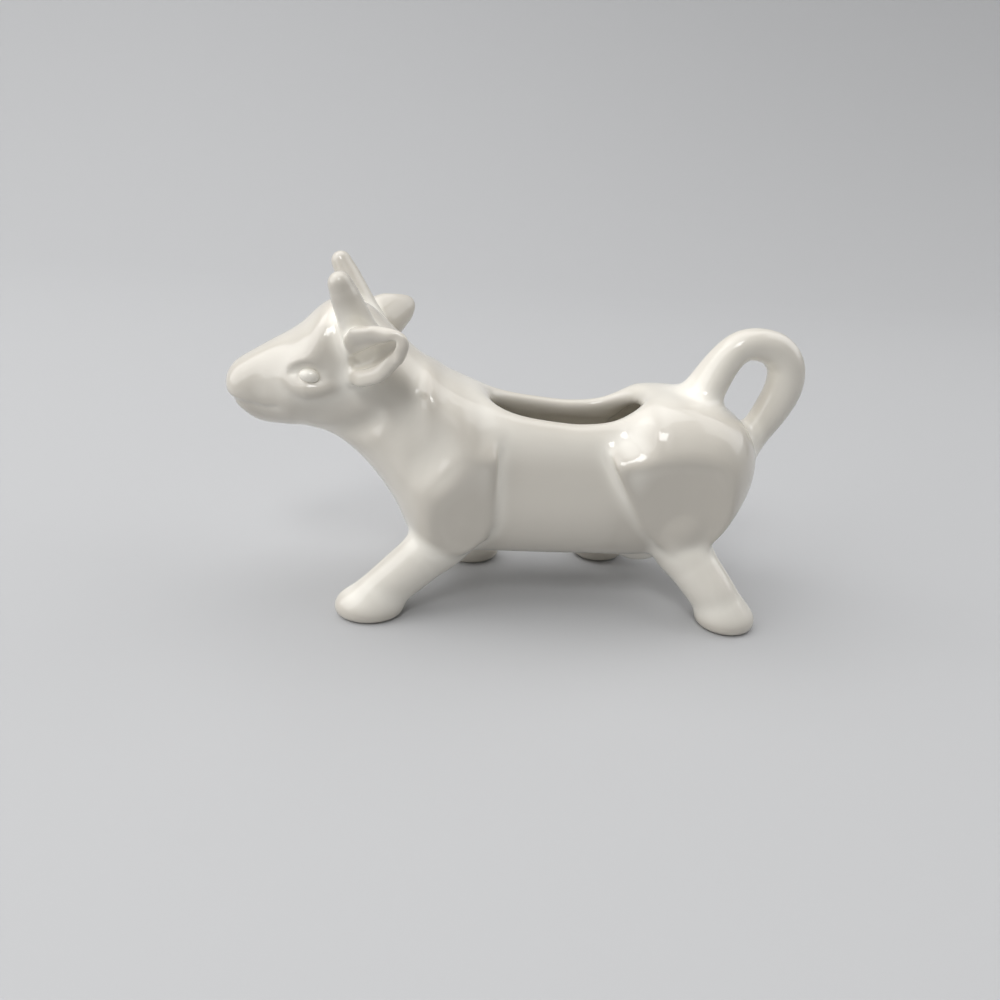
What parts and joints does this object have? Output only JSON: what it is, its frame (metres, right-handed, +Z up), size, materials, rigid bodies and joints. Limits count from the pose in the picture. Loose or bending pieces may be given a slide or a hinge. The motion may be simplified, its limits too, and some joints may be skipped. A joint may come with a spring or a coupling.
{
  "type": "cow creamer",
  "caption": "Glazed porcelain cream jug shaped as a standing cow, filled through an opening in the back, poured from the mouth and held by the looped tail.",
  "frame": {"origin": "middle of the base of the bounding box, on the plane of the four soles", "axes": "+Z up, +X from head to tail, so the cow faces -X; -Y is the cow's left side"},
  "size_m": [0.167, 0.06, 0.0985],
  "materials": {
    "glazed_porcelain": "gloss"
  },
  "bodies": {
    "root": {"torso_shell": "glazed_porcelain", "neck_shell": "glazed_porcelain", "head_shell": "glazed_porcelain", "foreleg_left": "glazed_porcelain", "foreleg_right": "glazed_porcelain", "hindleg_left": "glazed_porcelain", "hindleg_right": "glazed_porcelain", "tail_handle": "glazed_porcelain", "horn_left": "glazed_porcelain", "horn_right": "glazed_porcelain", "ear_left": "glazed_porcelain", "ear_right": "glazed_porcelain", "eye_left": "glazed_porcelain", "eye_right": "glazed_porcelain", "udder": "glazed_porcelain"}
  },
  "joints": []
}
